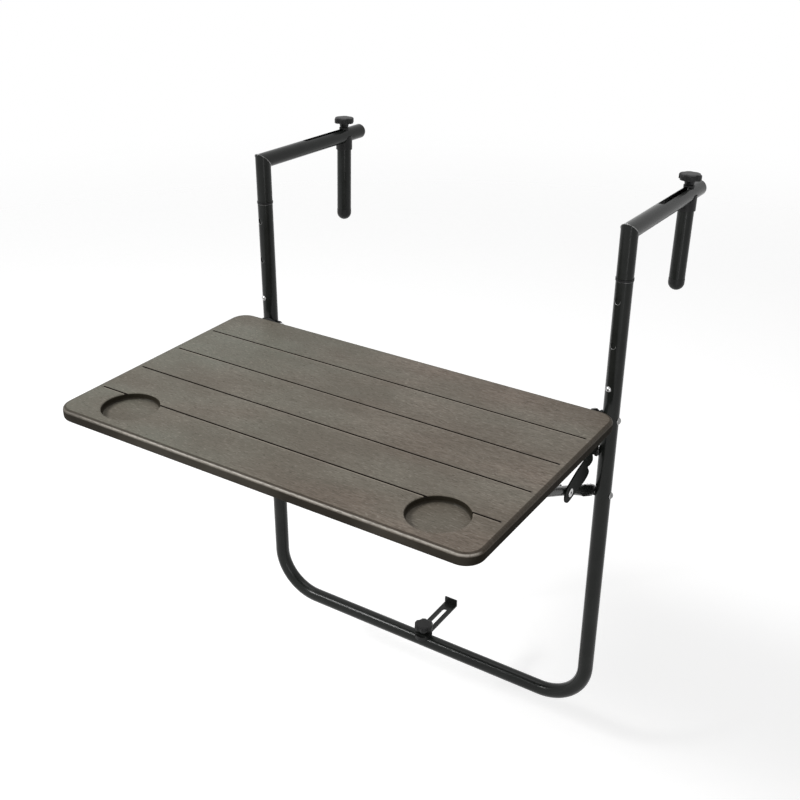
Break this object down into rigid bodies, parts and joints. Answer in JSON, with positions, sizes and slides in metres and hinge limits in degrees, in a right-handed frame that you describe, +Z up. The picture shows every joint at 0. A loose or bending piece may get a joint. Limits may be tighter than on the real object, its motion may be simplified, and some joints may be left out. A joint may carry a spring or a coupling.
{
  "type": "balcony railing bar table",
  "caption": "Folding rectangular table top on a U-shaped tube frame with two adjustable railing hooks, a support bow with catch links and a slotted railing spacer.",
  "frame": {"origin": "midway between the two posts on their common plane, at the height of the hooks' underside, where the table hangs on the railing", "axes": "+X along the table's long side, -Y towards the person at the table, +Y towards the railing, +Z up"},
  "size_m": [0.61, 0.6574, 0.7729],
  "materials": {
    "table_board": "moulded brown-grey wood-grain board, satin",
    "frame_black": "black powder coat, semi-gloss",
    "plastic_black": "black moulded plastic",
    "bright_steel": "zinc-plated steel"
  },
  "bodies": {
    "frame": {"u_frame": "frame_black", "tube_bushes": "plastic_black", "fold_bolts": "bright_steel", "fold_nuts": "bright_steel", "support_bolts": "bright_steel", "support_nuts": "bright_steel", "pivot_washers": "plastic_black", "catch_studs": "bright_steel", "bar_saddle": "plastic_black", "spacer_bolt": "bright_steel"},
    "table": {"table_top": "table_board", "hinge_bracket_left": "frame_black", "hinge_bracket_right": "frame_black", "bracket_screws": "bright_steel", "rest_pads": "plastic_black", "pad_screws": "bright_steel"},
    "support": {"support_bow": "frame_black", "bow_rivets": "bright_steel", "bow_washers": "bright_steel"},
    "spacer": {"spacer_plate": "frame_black"},
    "spacer_knob_body": {"spacer_knob": "plastic_black"},
    "catch_left": {"catch_link_left": "frame_black"},
    "hook_left": {"riser_left": "frame_black", "arm_left": "frame_black", "corner_weld_left": "frame_black", "arm_cap_left": "plastic_black"},
    "finger_slide_left": {"finger_left": "frame_black", "finger_tip_left": "plastic_black", "collar_left": "plastic_black", "clamp_bolt_left": "bright_steel", "saddle_washer_left": "plastic_black"},
    "knob_left": {"clamp_knob_left": "plastic_black"},
    "button_left": {"snap_button_left": "bright_steel"},
    "catch_right": {"catch_link_right": "frame_black"},
    "hook_right": {"riser_right": "frame_black", "arm_right": "frame_black", "corner_weld_right": "frame_black", "arm_cap_right": "plastic_black"},
    "finger_slide_right": {"finger_right": "frame_black", "finger_tip_right": "plastic_black", "collar_right": "plastic_black", "clamp_bolt_right": "bright_steel", "saddle_washer_right": "plastic_black"},
    "knob_right": {"clamp_knob_right": "plastic_black"},
    "button_right": {"snap_button_right": "bright_steel"}
  },
  "joints": [
    {"name": "table_fold", "type": "hinge", "parent": "frame", "child": "table", "pos_m": [0, 0, -0.2445], "axis": [1, 0, 0], "range_deg": [0, 80]},
    {"name": "support_swing", "type": "hinge", "parent": "frame", "child": "support", "pos_m": [0, 0, -0.358], "axis": [1, 0, 0], "range_deg": [0, 115.8]},
    {"name": "catch_turn_left", "type": "hinge", "parent": "support", "child": "catch_left", "pos_m": [-0.2663, -0.0822, -0.31826], "axis": [1, 0, 0], "range_deg": [-30.3, 0]},
    {"name": "hook_height_left", "type": "slide", "parent": "frame", "child": "hook_left", "axis": [0, 0, 1], "range_m": [0, 0.12]},
    {"name": "finger_reach_left", "type": "slide", "parent": "hook_left", "child": "finger_slide_left", "axis": [0, -0.9996, 0.0297], "range_m": [-0.006, 0.098]},
    {"name": "knob_turn_left", "type": "hinge", "parent": "finger_slide_left", "child": "knob_left", "pos_m": [-0.28, 0.20141, 0.00502], "axis": [0, 0.0297, 0.9996], "continuous": true},
    {"name": "button_push_left", "type": "slide", "parent": "frame", "child": "button_left", "axis": [0.2756, 0.9613, 0], "range_m": [0, 0.003], "stiffness_N_per_m": 600, "springref_m": -0.002},
    {"name": "catch_turn_right", "type": "hinge", "parent": "support", "child": "catch_right", "pos_m": [0.2663, -0.0822, -0.31826], "axis": [1, 0, 0], "range_deg": [-30.3, 0]},
    {"name": "hook_height_right", "type": "slide", "parent": "frame", "child": "hook_right", "axis": [0, 0, 1], "range_m": [0, 0.12]},
    {"name": "finger_reach_right", "type": "slide", "parent": "hook_right", "child": "finger_slide_right", "axis": [0, -0.9996, 0.0297], "range_m": [-0.006, 0.098]},
    {"name": "knob_turn_right", "type": "hinge", "parent": "finger_slide_right", "child": "knob_right", "pos_m": [0.28, 0.20141, 0.00502], "axis": [0, 0.0297, 0.9996], "continuous": true},
    {"name": "button_push_right", "type": "slide", "parent": "frame", "child": "button_right", "axis": [0.2756, 0.9613, 0], "range_m": [0, 0.003], "stiffness_N_per_m": 600, "springref_m": -0.002},
    {"name": "spacer_reach", "type": "slide", "parent": "frame", "child": "spacer", "axis": [0, -1, 0], "range_m": [0, 0.064]},
    {"name": "spacer_knob_turn", "type": "hinge", "parent": "frame", "child": "spacer_knob_body", "pos_m": [0.0025, 0, -0.704], "axis": [0, 0, 1], "continuous": true}
  ],
  "couplings": [
    {"joint": "support_swing", "follows": "table_fold", "ratio": 1.4475},
    {"joint": "catch_turn_left", "follows": "table_fold", "ratio": -0.37875},
    {"joint": "catch_turn_right", "follows": "table_fold", "ratio": -0.37875}
  ]
}
